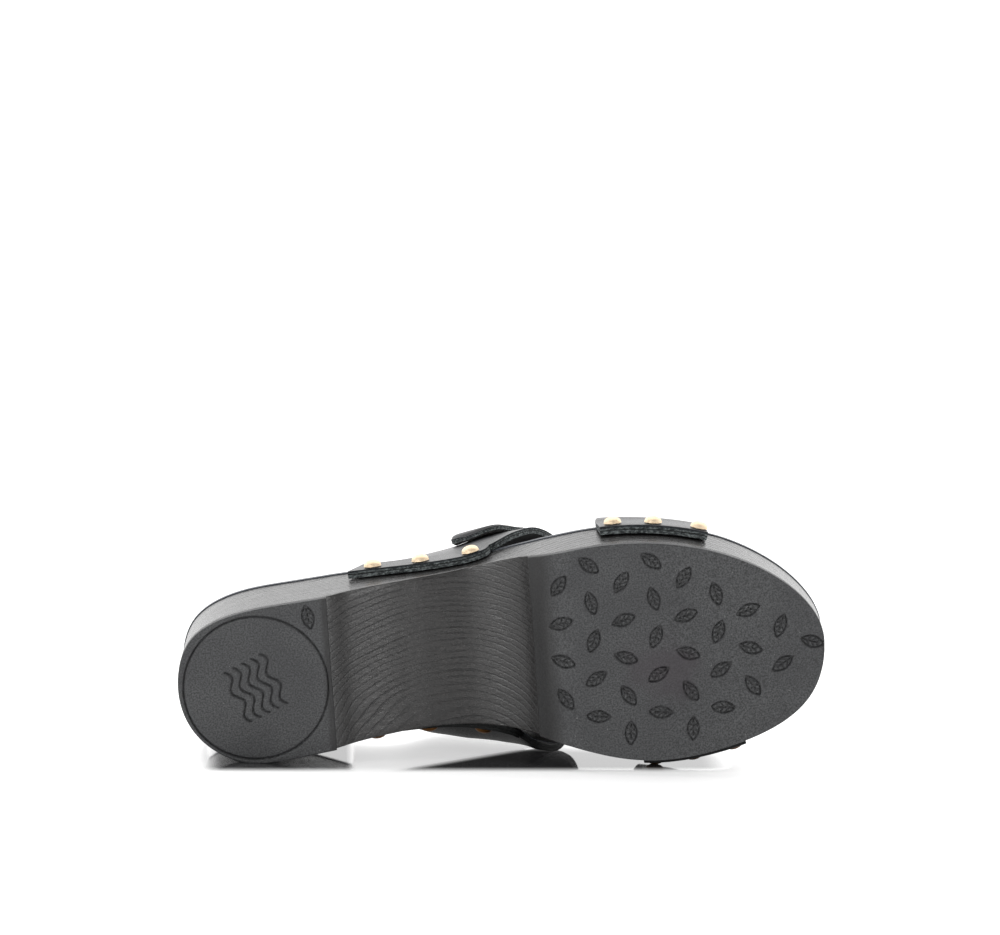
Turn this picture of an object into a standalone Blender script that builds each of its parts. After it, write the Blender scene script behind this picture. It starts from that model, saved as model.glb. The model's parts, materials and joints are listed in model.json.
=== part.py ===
"""A black clog sandal with a wooden sole: the right shoe, lying on its inner side.

The tables are in millimetres and become metres in mesh_object. The shoe is drawn standing up:
X runs from heel to toe, Y towards the inner side of the foot and Z up from the tread.
An empty then lays it down on its heel, toe strap and instep strap, with the tread facing -Y.
"""

import math

import bmesh
import bpy
import numpy as np
from mathutils import Matrix, Vector

MM = 0.001
INNER = 1.0
OUTER = -1.0

# Driving sizes
LENGTH = 253.0
GAP = 0.3
STRAP_CLEAR = 0.45
RUBBER = 3.0
INSOLE = 4.0
HEEL_BREAST = 60.0
FOREFOOT_EDGE = 139.5
LEATHER_HEM = 3.6
LEATHER_CROWN = 2.6
STUD_RADIUS = 3.3
STUD_HEIGHT = 2.1
STUD_RIM = 0.5
WOOD_SOFT = (0.6, 1.0)

# Plan of the sole: the reach of each side from the middle line
OUTLINE = (
    # along, outer side, inner side
    (0.0, 0.0, 0.0),
    (5.0, 17.5, 17.3),
    (12.0, 23.6, 24.8),
    (20.0, 26.9, 29.5),
    (32.0, 29.4, 31.6),
    (46.0, 30.8, 30.3),
    (60.0, 32.0, 28.4),
    (85.0, 33.4, 26.2),
    (110.0, 35.4, 25.8),
    (130.0, 38.9, 28.4),
    (150.0, 42.7, 33.5),
    (165.0, 44.6, 38.4),
    (182.0, 44.8, 41.5),
    (200.0, 42.4, 40.8),
    (215.0, 38.0, 37.9),
    (228.0, 31.8, 33.8),
    (240.0, 23.2, 27.4),
    (248.0, 14.2, 18.9),
    (LENGTH, 0.0, 0.0),
)

# Side view of the wood: height of its underside and of its seat, and how far each wall leans out
PROFILE = (
    # along, underside, seat, outer flare, inner flare
    (0.0, 3.3, 48.0, -1.4, -1.4),
    (30.0, 3.3, 47.6, -0.2, -0.2),
    (58.0, 3.3, 46.9, 0.0, 0.0),
    (62.0, 5.0, 46.8, 0.1, -0.1),
    (67.0, 8.5, 46.5, 0.2, -0.2),
    (76.0, 12.8, 45.8, 0.3, -0.5),
    (88.0, 17.2, 44.6, 0.4, -1.0),
    (102.0, 20.6, 42.8, 0.5, -1.5),
    (114.0, 21.5, 41.1, 0.5, -0.8),
    (122.0, 20.6, 39.7, 0.6, 0.8),
    (130.0, 18.3, 38.3, 0.6, 3.2),
    (136.0, 15.3, 37.2, 0.7, 5.4),
    (140.0, 11.8, 36.5, 0.7, 6.8),
    (145.0, 7.2, 35.7, 0.8, 6.8),
    (150.0, 4.6, 35.0, 0.8, 5.8),
    (157.0, 3.3, 34.1, 0.9, 4.0),
    (168.0, 3.3, 33.4, 1.0, 2.0),
    (182.0, 3.3, 33.0, 1.0, 1.0),
    (198.0, 3.6, 32.8, 1.0, 1.0),
    (214.0, 4.6, 33.0, 1.1, 1.1),
    (230.0, 6.6, 33.6, 0.8, 0.8),
    (244.0, 9.2, 34.6, 0.5, 0.5),
    (LENGTH, 11.0, 35.2, 0.4, 0.4),
)

# The foot's form under the straps: its crown over the seat, and how far it stands past the sole's edge.
# The upper hangs towards the inner side, which is the lower one as the shoe lies.
FORM = (
    # along, crown, outer swell, inner swell
    (66.0, 74.0, -6.0, 2.0),
    (86.0, 71.0, -4.0, 6.0),
    (100.0, 68.0, -1.5, 12.0),
    (112.0, 65.0, 0.3, 13.5),
    (125.0, 61.0, 2.4, 10.7),
    (140.0, 55.0, 2.4, 4.8),
    (152.0, 50.0, 1.4, 3.0),
    (168.0, 42.0, 1.4, 1.0),
    (190.0, 34.0, 0.9, 0.5),
    (222.0, 25.0, 0.6, 0.5),
)
FORM_ROUND = 0.85
FORM_BELLY = {OUTER: 0.34, INNER: 0.22}

# Each strap's rear and front edge at its two hems and over the crown, how deep the hem laps the wood
# at its rear and front, and how much of that depth its rounded front corner loses
TOE_STRAP = {
    OUTER: (167.8, 208.5),
    INNER: (180.0, 219.5),
    "crown": (176.0, 214.0),
    "lap": (16.0, 16.0),
    "corner": 0.0,
}
INSTEP_STRAP = {
    OUTER: (69.0, 125.5),
    INNER: (68.0, 133.0),
    "crown": (114.0, 162.0),
    "lap": (14.0, 12.2),
    "corner": 0.75,
}
STRAP_LEAN = {OUTER: 0.8, INNER: 0.5}
CORNER_START = 0.78

# Studs: where they stand across a hem, from its rear edge to its front edge, and their height over it
STUDS = (
    # strap, side, height over the hem, places
    ("toe", OUTER, 5.5, (0.12, 0.49, 0.89)),
    ("toe", INNER, 9.0, (0.12, 0.49, 0.89)),
    ("instep", OUTER, 4.6, (0.175, 0.50, 0.87)),
    ("instep", INNER, 4.6, (0.12, 0.44, 0.78)),
)

# Buckle and the tongue that runs through it, as fractions of the way up from the sole's outer edge
LATERAL_END = -0.16
BUCKLE_PLACE = -0.37
TONGUE_END = -0.80
TONGUE_HALF = 10.0
TONGUE_ACROSS = 0.58
FRAME_LONG = 6.6
FRAME_WIRE = 1.0
BAR_SINK = 0.6
TAIL_REST = 0.14
PRONG_WIRE = 0.8
HOLE_RADIUS = 1.7
HOLE_STEPS = (-3.4, -11.5)

# Rest
HEEL_TOUCH = ("outsole_heel",)
TOE_TOUCH = ("toe_strap", "stud_toe_inner_1", "stud_toe_inner_2", "stud_toe_inner_3")
INSTEP_TOUCH = ("instep_strap_inner",)

BLACK_WOOD = (0.030, 0.028, 0.027)
BLACK_RUBBER = (0.055, 0.052, 0.055)
BLACK_LEATHER = (0.022, 0.022, 0.024)
BRASS = (0.80, 0.58, 0.28)


def column(rows, index):
    return np.array([row[index] for row in rows])


def held_curve(xs, ys):
    """A smooth curve through the points that never swings past them."""
    steps = np.diff(xs)
    rates = np.diff(ys) / steps
    slopes = np.zeros(len(xs))
    slopes[0] = rates[0]
    slopes[-1] = rates[-1]
    for i in range(1, len(xs) - 1):
        if rates[i - 1] * rates[i] > 0.0:
            ahead = 2.0 * steps[i] + steps[i - 1]
            behind = steps[i] + 2.0 * steps[i - 1]
            slopes[i] = (ahead + behind) / (ahead / rates[i - 1] + behind / rates[i])
    return lambda x: hermite(xs, ys, slopes, x)


def even_curve(xs, ys):
    """The curve through the points whose bend changes most evenly."""
    steps = np.diff(xs)
    rates = np.diff(ys) / steps
    count = len(xs)
    system = np.zeros((count, count))
    known = np.zeros(count)
    system[0, :2] = (2.0, 1.0)
    known[0] = 3.0 * rates[0]
    system[-1, -2:] = (1.0, 2.0)
    known[-1] = 3.0 * rates[-1]
    for i in range(1, count - 1):
        system[i, i - 1:i + 2] = (steps[i], 2.0 * (steps[i] + steps[i - 1]), steps[i - 1])
        known[i] = 3.0 * (steps[i] * rates[i - 1] + steps[i - 1] * rates[i])
    slopes = np.linalg.solve(system, known)
    return lambda x: hermite(xs, ys, slopes, x)


def hermite(xs, ys, slopes, x):
    i = min(max(int(np.searchsorted(xs, x)) - 1, 0), len(xs) - 2)
    step = xs[i + 1] - xs[i]
    t = (x - xs[i]) / step
    start = (1.0 + 2.0 * t) * (1.0 - t) ** 2 * ys[i] + t * (1.0 - t) ** 2 * step * slopes[i]
    end = t * t * (3.0 - 2.0 * t) * ys[i + 1] + t * t * (t - 1.0) * step * slopes[i + 1]
    return float(start + end)


def ease(t):
    t = min(max(t, 0.0), 1.0)
    return t * t * (3.0 - 2.0 * t)


def mix(a, b, t):
    return a + (b - a) * t


def lap_angle(along):
    """The place along the shoe as an angle, so that both ends of the plan come out round."""
    return np.arccos(1.0 - 2.0 * along / LENGTH)


REACH = {
    OUTER: even_curve(lap_angle(column(OUTLINE, 0)), column(OUTLINE, 1)),
    INNER: even_curve(lap_angle(column(OUTLINE, 0)), column(OUTLINE, 2)),
}
underside = held_curve(column(PROFILE, 0), column(PROFILE, 1))
seat = held_curve(column(PROFILE, 0), column(PROFILE, 2))
FLARE = {
    OUTER: held_curve(column(PROFILE, 0), column(PROFILE, 3)),
    INNER: held_curve(column(PROFILE, 0), column(PROFILE, 4)),
}
crown = held_curve(column(FORM, 0), column(FORM, 1))
SWELL = {
    OUTER: held_curve(column(FORM, 0), column(FORM, 2)),
    INNER: held_curve(column(FORM, 0), column(FORM, 3)),
}


def rim_slope(along, side):
    """How the plan runs there: (ahead, out) of a unit step along it."""
    tiny = 1e-4
    angle = lap_angle(along)
    out = (REACH[side](angle + tiny) - REACH[side](angle - tiny)) / (2.0 * tiny)
    ahead = 0.5 * LENGTH * math.sin(angle)
    size = math.hypot(ahead, out)
    return ahead / size, out / size


def rim(along, side, grow):
    """The point of the plan on one side, moved outwards by grow."""
    ahead, out = rim_slope(along, side)
    reach = REACH[side](lap_angle(along)) + grow * ahead
    return along - grow * out, side * reach


def wall(along, side, height, clear):
    """How far the wood's wall stands from the middle line at one height, and this much clear of it."""
    low = underside(along) + WOOD_SOFT[0]
    high = seat(along) - WOOD_SOFT[1]
    up = min((height - low) / (high - low), 1.0)
    ahead = rim_slope(along, side)[0]
    return REACH[side](lap_angle(along)) + (FLARE[side](along) * up + clear) / ahead


def stations(start, end, count=46, bunch=0.35):
    """Places along the shoe, close together at the ends, with the two tread edges among them."""
    first = 0.03
    places = []
    for i in range(count):
        t = i / (count - 1)
        angle = math.pi * (t + bunch * math.sin(2.0 * math.pi * t) / (2.0 * math.pi))
        angle = min(max(angle, first), math.pi - first)
        places.append(0.5 * LENGTH * (1.0 - math.cos(angle)))
    for edge in (HEEL_BREAST, FOREFOOT_EDGE):
        nearest = min(range(count), key=lambda i: abs(places[i] - edge))
        places[nearest] = edge
    return [x for x in places if start <= x <= end]


def mesh_object(name, points, faces, colour, metal=0.0, rough=0.5):
    mesh = bpy.data.meshes.new(name)
    mesh.from_pydata([Vector(p) * MM for p in points], [], faces)
    shape = bmesh.new()
    shape.from_mesh(mesh)
    bmesh.ops.recalc_face_normals(shape, faces=shape.faces)
    shape.to_mesh(mesh)
    shape.free()
    material = bpy.data.materials.new(name)
    material.use_nodes = True
    shader = material.node_tree.nodes["Principled BSDF"]
    shader.inputs["Base Color"].default_value = (*colour, 1.0)
    shader.inputs["Metallic"].default_value = metal
    shader.inputs["Roughness"].default_value = rough
    mesh.materials.append(material)
    obj = bpy.data.objects.new(name, mesh)
    bpy.context.scene.collection.objects.link(obj)
    return obj


def ring_faces(rings, size):
    """Faces between closed rings that follow each other, with a cap on each end."""
    faces = [list(range(size))]
    for i in range(rings - 1):
        for j in range(size):
            k = (j + 1) % size
            faces.append([i * size + j, i * size + k, (i + 1) * size + k, (i + 1) * size + j])
    faces.append(list(range((rings - 1) * size, rings * size)))
    return faces


def slab(name, places, low, high, grow, soft, colour, sag=0.0, across=5, levels=0, rough=0.5):
    """A layer with the sole's plan, from the height low to high. grow and soft hold the values at
    the lower and upper edge: how far each side stands past the plan, and how far the edge is rounded.
    levels is the number of rows of points on its wall between the two rounded edges."""
    points = []
    round_steps = (0.0, 0.35, 1.0)
    for along in places:
        bottom = low(along)
        top = high(along)
        walls = {}
        for side in (OUTER, INNER):
            lower = []
            upper = []
            for t in round_steps:
                rise = 1.0 - math.cos(t * math.pi / 2.0)
                inset = 1.0 - math.sin(t * math.pi / 2.0)
                out = grow[0](along, side) - soft[0] * inset
                lower.append((*rim(along, side, out), bottom + soft[0] * rise))
                out = grow[1](along, side) - soft[1] * inset
                upper.append((*rim(along, side, out), top - soft[1] * rise))
            middle = []
            for level in range(levels):
                t = (level + 1) / (levels + 1)
                middle.append(tuple(mix(np.array(lower[-1]), np.array(upper[-1]), t)))
            walls[side] = lower + middle + upper[::-1]
        outer = walls[OUTER]
        inner = walls[INNER]
        points += outer
        for j in range(1, across):
            t = j / across
            dip = sag * 4.0 * t * (1.0 - t)
            middle = mix(np.array(outer[-1]), np.array(inner[-1]), t)
            points.append(tuple(middle - np.array((0.0, 0.0, dip))))
        points += reversed(inner)
        for j in range(1, across):
            points.append(tuple(mix(np.array(inner[0]), np.array(outer[0]), j / across)))
    size = len(points) // len(places)
    return mesh_object(name, points, ring_faces(len(places), size), colour, rough=rough)


def over_foot(along, side, turn):
    """A point of the foot's form: turn is 0 at the sole's edge and 1 over the crown."""
    angle = turn * math.pi / 2.0
    reach = wall(along, side, seat(along), STRAP_CLEAR)
    reach += SWELL[side](along) * math.sin(min(turn / FORM_BELLY[side], 1.0) * math.pi / 2.0)
    y = side * reach * max(math.cos(angle), 0.0) ** FORM_ROUND
    return Vector((along, y, seat(along) + crown(along) * math.sin(angle)))


def hem_depth(strap, across):
    """How far the hem laps down over the wood, less at a rounded front corner."""
    corner = min(max(across - CORNER_START, 0.0) / (1.0 - CORNER_START), 1.0)
    return mix(*strap["lap"], across) * (1.0 - strap["corner"] * (1.0 - math.sqrt(1.0 - corner * corner)))


def strap_base(strap, place, across):
    """A point under a strap. place runs from -2 at the outer hem over 0, the crown, to 2 at the inner
    hem, with the sole's edges at -1 and 1. across runs from 0 at the rear edge to 1 at the front."""
    side = OUTER if place < 0.0 else INNER
    turn = max(1.0 - abs(place), 0.0)
    lean = math.sin(turn * math.pi / 2.0) ** STRAP_LEAN[side]
    rear = mix(strap[side][0], strap["crown"][0], lean)
    front = mix(strap[side][1], strap["crown"][1], lean)
    along = mix(rear, front, across)
    if turn > 0.0:
        return over_foot(along, side, turn)
    height = seat(along) - (abs(place) - 1.0) * hem_depth(strap, across)
    return Vector((along, side * wall(along, side, height, STRAP_CLEAR), height))


def strap_axes(strap, place, across):
    """At a point of a strap: the way along it, the way across it and the way out of it."""
    tiny = 1e-3
    along = strap_base(strap, place + tiny, across) - strap_base(strap, place - tiny, across)
    front = strap_base(strap, place, across + tiny) - strap_base(strap, place, across - tiny)
    out = front.cross(along).normalized()
    along.normalize()
    return along, along.cross(out).normalized(), out


def strap_point(strap, place, across, lift):
    return strap_base(strap, place, across) + strap_axes(strap, place, across)[2] * lift


def leather(place):
    """Thickness of a strap: doubled at its hem, single over the foot."""
    return mix(LEATHER_CROWN, LEATHER_HEM, ease((abs(place) - 0.9) / 1.1))


def sheet(name, under, upper, colour, rough=0.45):
    """A solid between two grids of points."""
    rows = len(under)
    columns = len(under[0])
    points = [p for row in under for p in row] + [p for row in upper for p in row]
    half = rows * columns
    faces = []
    for i in range(rows - 1):
        for j in range(columns - 1):
            a = i * columns + j
            b = a + columns
            faces.append([a, a + 1, b + 1, b])
            faces.append([half + a, half + b, half + b + 1, half + a + 1])
    edge = [j for j in range(columns)]
    edge += [i * columns + columns - 1 for i in range(1, rows)]
    edge += [(rows - 1) * columns + j for j in range(columns - 2, -1, -1)]
    edge += [i * columns for i in range(rows - 2, 0, -1)]
    for k, a in enumerate(edge):
        b = edge[(k + 1) % len(edge)]
        faces.append([a, b, half + b, half + a])
    return mesh_object(name, points, faces, colour, rough=rough)


def tube(name, path, normals, radius, closed, colour, sides=8):
    """A round bar along a path, whose normals say which way its first side faces."""
    points = []
    count = len(path)
    for i, centre in enumerate(path):
        ahead = path[(i + 1) % count] if closed else path[min(i + 1, count - 1)]
        behind = path[i - 1] if closed else path[max(i - 1, 0)]
        way = (ahead - behind).normalized()
        up = (normals[i] - way * normals[i].dot(way)).normalized()
        side = way.cross(up)
        for j in range(sides):
            angle = 2.0 * math.pi * (j + 0.5) / sides
            points.append(centre + (up * math.cos(angle) + side * math.sin(angle)) * radius)
    faces = ring_faces(count, sides)
    if closed:
        faces = faces[1:-1]
        last = (count - 1) * sides
        for j in range(sides):
            k = (j + 1) % sides
            faces.append([last + j, last + k, k, j])
    return mesh_object(name, points, faces, colour, metal=1.0, rough=0.25)


def strap_grid(strap, places, columns, lift_of):
    return [[strap_point(strap, p, j / (columns - 1), lift_of(p)) for j in range(columns)] for p in places]


def spaced(start, end, count):
    return [mix(start, end, i / (count - 1)) for i in range(count)]


def hem_to_hem():
    """Places along a whole strap: three steps down each wall, the rest over the foot."""
    return spaced(-2.0, -1.0, 4)[:-1] + spaced(-1.0, 1.0, 27) + spaced(1.0, 2.0, 4)[1:]


def make_toe_strap():
    places = hem_to_hem()
    under = strap_grid(TOE_STRAP, places, 7, lambda p: 0.0)
    upper = strap_grid(TOE_STRAP, places, 7, leather)
    return sheet("toe_strap", under, upper, BLACK_LEATHER)


def make_instep_outer():
    """The outer half of the instep strap, which ends under the buckle."""
    places = spaced(-2.0, -1.0, 4)[:-1] + spaced(-1.0, LATERAL_END, 12)
    under = strap_grid(INSTEP_STRAP, places, 11, lambda p: 0.0)
    upper = strap_grid(INSTEP_STRAP, places, 11, leather)
    return sheet("instep_strap_outer", under, upper, BLACK_LEATHER)


def tongue_lift(place):
    """Clearance of the inner half over the foot's form: it climbs on the outer half, runs under the
    buckle's far bar and over its near bar, and its tail lies down again with the tip a little up."""
    lap_on = (leather(LATERAL_END) + GAP) * ease((0.18 - place) / 0.30)
    over_bar = (2.0 * FRAME_WIRE + 0.5) * ease((BUCKLE_PLACE + 0.05 - place) / 0.13)
    down_again = 1.0 - (1.0 - TAIL_REST) * ease((BUCKLE_PLACE - 0.12 - place) / 0.14)
    tip = 0.6 * ease((TONGUE_END + 0.10 - place) / 0.10)
    return lap_on + over_bar * down_again + tip


def tongue_point(place, across, lift):
    """A point of the tongue, square to the strap's middle line."""
    way, front, out = strap_axes(INSTEP_STRAP, place, TONGUE_ACROSS)
    to_tip = (place - TONGUE_END) / 0.10
    half = TONGUE_HALF * math.sqrt(max(1.0 - max(1.0 - to_tip, 0.0) ** 2, 0.12))
    middle = strap_base(INSTEP_STRAP, place, TONGUE_ACROSS)
    return middle + front * (half * (2.0 * across - 1.0)) + out * lift


def inner_half_point(place, across, lift):
    band = strap_point(INSTEP_STRAP, place, across, lift)
    narrow = ease((0.34 - place) / 0.5)
    if narrow == 0.0:
        return band
    return mix(band, tongue_point(place, across, lift), narrow)


def make_instep_inner():
    """The inner half of the instep strap, which narrows to a tongue with a tail past the buckle."""
    places = spaced(2.0, 1.0, 4)[:-1] + spaced(1.0, TONGUE_END, 32)
    columns = 11
    rows = range(columns)
    under = [[inner_half_point(p, j / (columns - 1), tongue_lift(p)) for j in rows] for p in places]
    upper = [[inner_half_point(p, j / (columns - 1), tongue_lift(p) + tongue_leather(p)) for j in rows]
             for p in places]
    return sheet("instep_strap_inner", under, upper, BLACK_LEATHER)


def tongue_leather(place):
    return leather(place) if place > 0.0 else LEATHER_CROWN


def buckle_frame():
    """Origin and axes of the buckle: on the outer half's face, along the strap, across it and out."""
    way, front, out = strap_axes(INSTEP_STRAP, BUCKLE_PLACE, TONGUE_ACROSS)
    origin = strap_point(INSTEP_STRAP, BUCKLE_PLACE, TONGUE_ACROSS, leather(BUCKLE_PLACE))
    return origin, way, front, out


def make_buckle():
    origin, way, front, out = buckle_frame()
    near = GAP + FRAME_WIRE - BAR_SINK
    far = LEATHER_CROWN + 2.0 * GAP + FRAME_WIRE
    wide = TONGUE_HALF + 0.8 + FRAME_WIRE
    corner = 2.6
    path = []
    for turn, (sign_long, sign_wide) in enumerate(((1, 1), (-1, 1), (-1, -1), (1, -1))):
        for step in range(4):
            angle = (turn + step / 3.0) * math.pi / 2.0
            a = sign_long * (FRAME_LONG - corner) + corner * math.cos(angle)
            b = sign_wide * (wide - corner) + corner * math.sin(angle)
            height = mix(near, far, (a + FRAME_LONG) / (2.0 * FRAME_LONG))
            path.append(origin + way * a + front * b + out * height)
    tube("buckle_frame", path, [out] * len(path), FRAME_WIRE, True, BRASS)
    top = far + FRAME_WIRE + PRONG_WIRE + GAP
    root = ((-4.2, 1.5), (-3.5, 3.2), (-3.1, 5.0), (-2.0, 6.3))
    steps = root + ((2.0, top + 0.6), (FRAME_LONG, top), (9.0, top - 0.4))
    prong = [origin + way * a + out * height for a, height in steps]
    tube("buckle_prong", prong, [front] * len(prong), PRONG_WIRE, False, BRASS, sides=7)


def punch(obj):
    """Cuts the tongue's holes: the prong stands in the first."""
    origin, way, front, out = buckle_frame()
    for number, step in enumerate(HOLE_STEPS):
        cutter = bpy.data.meshes.new("hole")
        shape = bmesh.new()
        turn = Matrix((front, way, out)).transposed().to_4x4()
        place = Matrix.Translation((origin + way * step + out * 4.0) * MM)
        bmesh.ops.create_cone(shape, cap_ends=True, segments=14, radius1=HOLE_RADIUS * MM,
                              radius2=HOLE_RADIUS * MM, depth=30.0 * MM, matrix=place @ turn)
        bmesh.ops.recalc_face_normals(shape, faces=shape.faces)
        shape.to_mesh(cutter)
        shape.free()
        drill = bpy.data.objects.new(f"hole_{number}", cutter)
        drill.hide_render = True
        drill.display_type = "WIRE"
        bpy.context.scene.collection.objects.link(drill)
        cut = obj.modifiers.new(f"hole_{number}", "BOOLEAN")
        cut.operation = "DIFFERENCE"
        cut.solver = "EXACT"
        cut.object = drill


def make_stud(name, strap, side, across, raise_by):
    place = side * (1.0 + (mix(*strap["lap"], across) - raise_by) / hem_depth(strap, across))
    tiny = 0.05
    above = strap_point(strap, place - side * tiny, across, leather(place - side * tiny))
    below = strap_point(strap, place + side * tiny, across, leather(place + side * tiny))
    way = (below - above).normalized()
    front = strap_axes(strap, place, across)[1]
    out = front.cross(way).normalized() * side
    front = way.cross(out)
    base = strap_point(strap, place, across, leather(place)) + out * 0.25
    sides = 14
    rings = [(STUD_RADIUS, 0.0), (STUD_RADIUS, STUD_RIM)]
    for turn in (0.3, 0.55, 0.78):
        angle = turn * math.pi / 2.0
        rings.append((STUD_RADIUS * math.cos(angle), STUD_RIM + (STUD_HEIGHT - STUD_RIM) * math.sin(angle)))
    points = []
    for radius, height in rings:
        for j in range(sides):
            angle = 2.0 * math.pi * j / sides
            points.append(base + (way * math.cos(angle) + front * math.sin(angle)) * radius + out * height)
    faces = ring_faces(len(rings), sides)[:-1]
    points.append(base + out * STUD_HEIGHT)
    last = (len(rings) - 1) * sides
    for j in range(sides):
        faces.append([last + j, last + (j + 1) % sides, len(points) - 1])
    return mesh_object(name, points, faces, BRASS, metal=1.0, rough=0.25)


def make_studs():
    straps = {"toe": TOE_STRAP, "instep": INSTEP_STRAP}
    sides = {OUTER: "outer", INNER: "inner"}
    for kind, side, height, places in STUDS:
        for number, across in enumerate(places, 1):
            make_stud(f"stud_{kind}_{sides[side]}_{number}", straps[kind], side, across, height)


def make_sole():
    def flush(along, side):
        return 0.0

    def seat_edge(along, side):
        return FLARE[side](along)

    def bed_edge(along, side):
        return FLARE[side](along) - 0.4

    def tread_top(along):
        return underside(along) - GAP

    def tread_face(along):
        return underside(along) - GAP - RUBBER

    def bed_low(along):
        return seat(along) + GAP

    def bed_high(along):
        return seat(along) + GAP + INSOLE

    whole = stations(0.0, LENGTH)
    heel = stations(0.0, HEEL_BREAST)
    forefoot = stations(FOREFOOT_EDGE, LENGTH)
    tread = (flush, flush)
    tread_soft = (0.7, 0.2)
    slab("sole_wood", whole, underside, seat, (flush, seat_edge), WOOD_SOFT, BLACK_WOOD, levels=3,
         rough=0.35)
    slab("outsole_heel", heel, tread_face, tread_top, tread, tread_soft, BLACK_RUBBER, rough=0.7)
    slab("outsole_forefoot", forefoot, tread_face, tread_top, tread, tread_soft, BLACK_RUBBER, rough=0.7)
    slab("insole", whole, bed_low, bed_high, (bed_edge, bed_edge), (0.5, 1.8), BLACK_LEATHER, sag=0.9)


def lowest(names, down):
    """The point of these objects that lies furthest down."""
    points = [v.co for name in names for v in bpy.data.objects[name].data.vertices]
    return max(points, key=lambda p: p.dot(down))


def lay_down():
    """Turns the shoe onto the plane that touches its heel, toe strap and instep strap."""
    down = Vector((0.0, 1.0, 0.0))
    for attempt in range(12):
        heel = lowest(HEEL_TOUCH, down)
        toe = lowest(TOE_TOUCH, down)
        instep = lowest(INSTEP_TOUCH, down)
        down = (instep - heel).cross(toe - heel).normalized()
        if down.y < 0.0:
            down.negate()
    away = Vector((0.0, 0.0, 1.0))
    away = (away - down * away.dot(down)).normalized()
    ahead = away.cross(down)
    if ahead.x < 0.0:
        ahead.negate()
    turn = Matrix((ahead, away, -down))
    parts = [obj for obj in bpy.context.scene.objects if obj.type == "MESH"]
    shown = [obj for obj in parts if not obj.hide_render]
    corners = np.array([turn @ v.co for obj in shown for v in obj.data.vertices])
    low = corners.min(axis=0)
    high = corners.max(axis=0)
    pose = bpy.data.objects.new("rest", None)
    bpy.context.scene.collection.objects.link(pose)
    shift = Vector((-0.5 * (low[0] + high[0]), -0.5 * (low[1] + high[1]), -low[2]))
    pose.matrix_world = Matrix.Translation(shift) @ turn.to_4x4()
    for obj in parts:
        obj.parent = pose


def main():
    for obj in list(bpy.data.objects):
        bpy.data.objects.remove(obj, do_unlink=True)
    make_sole()
    make_toe_strap()
    make_instep_outer()
    punch(make_instep_inner())
    make_buckle()
    make_studs()
    lay_down()


main()
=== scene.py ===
"""Looks of the black clog sandal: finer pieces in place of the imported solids, materials, floor and light.

The pieces are drawn as the solids are, in millimetres with the shoe standing up: X from heel to toe,
Y towards the inner side of the foot and Z up from the tread. LAID then lays them down on their side.
"""

import json
import math

import bmesh
import bpy
import numpy as np
from mathutils import Matrix, Vector

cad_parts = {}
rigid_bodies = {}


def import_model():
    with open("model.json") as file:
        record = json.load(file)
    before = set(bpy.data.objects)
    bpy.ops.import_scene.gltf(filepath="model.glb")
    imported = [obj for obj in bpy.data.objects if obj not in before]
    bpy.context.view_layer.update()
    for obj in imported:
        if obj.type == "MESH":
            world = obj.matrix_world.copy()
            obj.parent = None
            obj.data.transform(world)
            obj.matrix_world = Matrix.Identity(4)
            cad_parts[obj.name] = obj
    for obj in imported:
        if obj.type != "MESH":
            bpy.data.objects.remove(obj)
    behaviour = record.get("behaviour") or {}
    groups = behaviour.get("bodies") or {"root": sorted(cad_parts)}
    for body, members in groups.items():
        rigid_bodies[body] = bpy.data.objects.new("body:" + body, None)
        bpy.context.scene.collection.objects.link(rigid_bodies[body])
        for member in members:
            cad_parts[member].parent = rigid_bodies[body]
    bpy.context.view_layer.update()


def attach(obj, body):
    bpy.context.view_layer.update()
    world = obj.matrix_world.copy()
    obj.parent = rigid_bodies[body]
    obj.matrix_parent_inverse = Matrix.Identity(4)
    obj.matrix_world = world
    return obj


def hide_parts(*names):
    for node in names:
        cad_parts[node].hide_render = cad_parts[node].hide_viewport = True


MM = 0.001
INNER = 1.0
OUTER = -1.0

# How the shoe lies, as the solids do
LAID = Matrix((
    (0.9944063, 0.1056221, 0.0, -0.1259977),
    (-0.0017853, 0.0168084, 0.9998571, -0.0523847),
    (0.1056070, -0.9942642, 0.0169030, 0.0281141),
    (0.0, 0.0, 0.0, 1.0),
))

# Camera, fitted to the photograph's frame of 1000 by 935. eye is its place along its own axes
CAMERA = {
    "azimuth": 1.91051,
    "elevation": 8.16701,
    "roll": 2.17507,
    "eye": (0.0019282, 0.1110598, 2.5761657),
    "lens": 232.92,
    "sensor": 36.0,
    "clip": (0.05, 60.0),
}

# Driving sizes
LENGTH = 253.0
GAP = 0.3
STRAP_CLEAR = 0.45
RUBBER = 3.0
INSOLE = 4.0
HEEL_BREAST = 60.0
FOREFOOT_EDGE = 139.5
LEATHER_CROWN = 2.6
STUD_RADIUS = 3.5
STUD_HEIGHT = {OUTER: 2.6, INNER: 2.1}
STUD_RIM = 0.5
STUD_GAP = 0.25
BED_OVERHANG = 0.38

# How far the lower and upper edges of the wood, the rubber and the footbed are rounded
WOOD_SOFT = (0.4, 0.6)
RUBBER_SOFT = (0.45, 0.2)
BED_SOFT = (0.12, 1.8)

# A stud's edge from its foot to its rim: what is added to its radius, and its height
STUD_EDGE = ((-0.25, 0.0), (0.0, 0.12), (0.0, 0.28), (-0.12, STUD_RIM))

# The footbed's dip: its depth under heel and toes, the stretch where that changes, and the widths of the
# plan over which it grows from nothing at both ends
DIP_DEPTH = (1.5, 0.8)
DIP_CHANGE = (20.0, 120.0)
DIP_GROWTH = (6.0, 50.0)

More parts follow.
